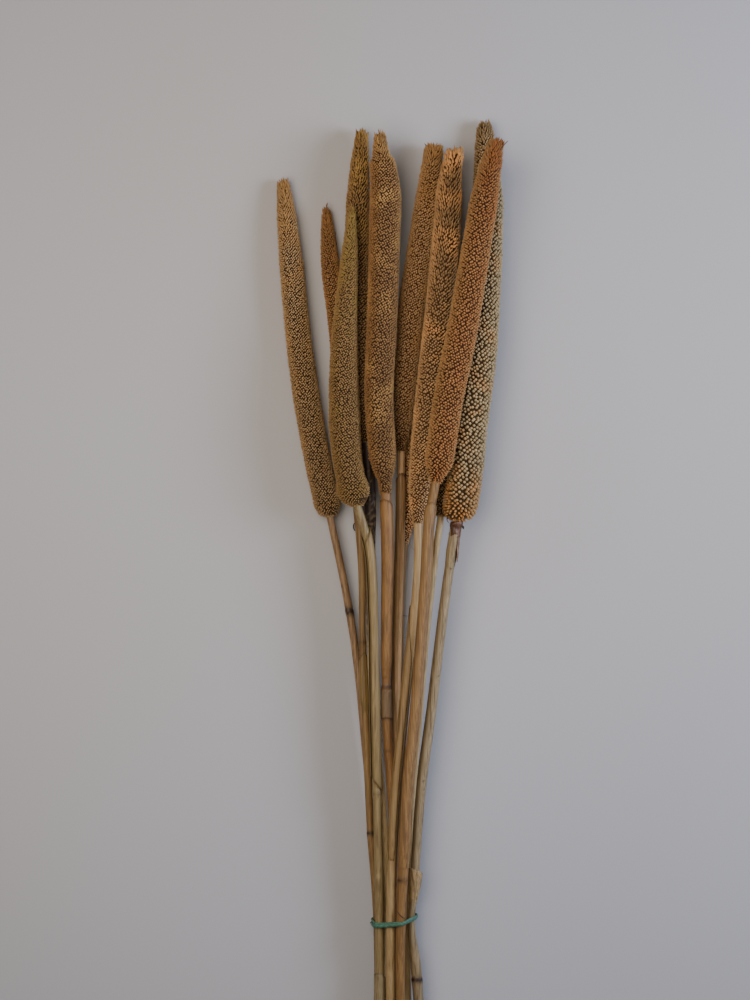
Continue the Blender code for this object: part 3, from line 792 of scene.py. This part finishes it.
def makeBand():
    # two turns of one strand, crossing in front
    thick, steps = band["strand"] * mm, band["steps"]
    path = []
    for step in range(steps):
        turn = 4 * math.pi * step / steps
        lift = thick * (1.15 + 0.55 * math.sin(turn / 2 + band["crossing"]))
        x, z = tieOutline(0.35 * mm + lift, turn)
        apart = band["spread"] * mm * math.cos(turn / 2 + band["crossing"])
        y = band["y"] * mm + band["askew"] * x + apart
        y -= band["sag"] * mm * max(0.0, math.sin(turn))
        path.append(Vector((x, y, z)))
    # stretched rubber runs straight between the stems and turns gently over them
    for _ in range(3):
        path = [(path[i - 1] + path[i] * 2 + path[(i + 1) % steps]) / 4 for i in range(steps)]
    def bandPlace(across, length):
        spot = round(length * steps) % steps
        forward = (path[(spot + 1) % steps] - path[spot - 1]).normalized()
        side = Vector((0, 1, 0)) - forward * forward.y
        side.normalize()
        out = forward.cross(side)
        turn = 2 * math.pi * across
        wide = thick * (1.2 + 0.35 * max(0.0, math.sin(4 * math.pi * length)))
        deep = thick * 0.8
        return path[spot] + side * wide * math.cos(turn) + out * deep * math.sin(turn)
    mesh = rolledTube(12, steps, bandPlace)
    addPiece("tie_band", meshData("tie_band", mesh), rubberMaterial("teal_rubber"), "rubber_band")


makeBand()
print("rubber band made")


# floor, camera and lights

floorLook = {"size": 4.0, "colour": "B0B4BF", "warm": "B0B0B3"}


def floorMaterial(name):
    # matt painted board, pale grey, with a faint mottle about 0.8 m wide
    material, tree, shader = startMaterial(name)
    place = addNode(tree, "ShaderNodeTexCoord")
    mottle = addNode(tree, "ShaderNodeTexNoise", {"Scale": 1.2, "Detail": 2.0},
                     {"Vector": place.outputs["Object"]})
    ramp = addNode(tree, "ShaderNodeValToRGB", links={"Fac": mottle.outputs["Fac"]})
    setStops(ramp.color_ramp, [(0.35, floorLook["warm"]), (0.65, floorLook["colour"])])
    tree.links.new(ramp.outputs["Color"], shader.inputs["Base Color"])
    setSockets(shader, {"Roughness": 0.9})
    return material


floorMesh = bmesh.new()
bmesh.ops.create_grid(floorMesh, x_segments=1, y_segments=1, size=floorLook["size"])
floor = addObject("floor", meshData("floor", floorMesh))
floor.data.materials.append(floorMaterial("pale_board"))

# straight down on the bunch: camera height, the height that the photo's scale holds for, and
# the middle of the picture, in metres
view = {"height": 2.2, "focus": 0.025, "metresPerPixel": 0.00075, "rows": 1000,
        "centre": (-0.0109, 0.0649), "sensor": 36}
tall = view["rows"] * view["metresPerPixel"]
cameraData = bpy.data.cameras.new("camera")
cameraData.sensor_width = view["sensor"]
cameraData.lens = view["sensor"] * (view["height"] - view["focus"]) / tall
cameraData.clip_end = 20
camera = addObject("camera", cameraData)
camera.location = (*view["centre"], view["height"])
bpy.context.scene.camera = camera

# a cool window low on the right, and the warm room's soft light from the left
lights = {
    "window": {"place": (0.92, 0.24, 0.57), "target": (0, 0.16, 0), "size": 0.5, "power": 7.8,
               "colour": "E4ECFF", "spread": 150},
    "room": {"place": (-0.32, 0.2, 0.9), "target": (-0.04, 0.12, 0), "size": 0.9, "power": 4.1,
             "colour": "FFEDD8", "spread": 120},
}


def addLight(name):
    lamp = lights[name]
    data = bpy.data.lights.new(name, "AREA")
    data.shape = "DISK"
    data.size = lamp["size"]
    data.energy = lamp["power"]
    data.spread = math.radians(lamp["spread"])
    data.color = toLinear(lamp["colour"])[:3]
    light = addObject(name, data)
    light.location = lamp["place"]
    aim = Vector(lamp["target"]) - Vector(lamp["place"])
    light.rotation_euler = aim.to_track_quat("-Z", "Y").to_euler()


for name in lights:
    addLight(name)
world = bpy.data.worlds.new("room")
world.use_nodes = True
setSockets(world.node_tree.nodes["Background"], {"Color": toLinear("E9DFD2"), "Strength": 0.2})
bpy.context.scene.world = world
print("floor, lights and camera set")
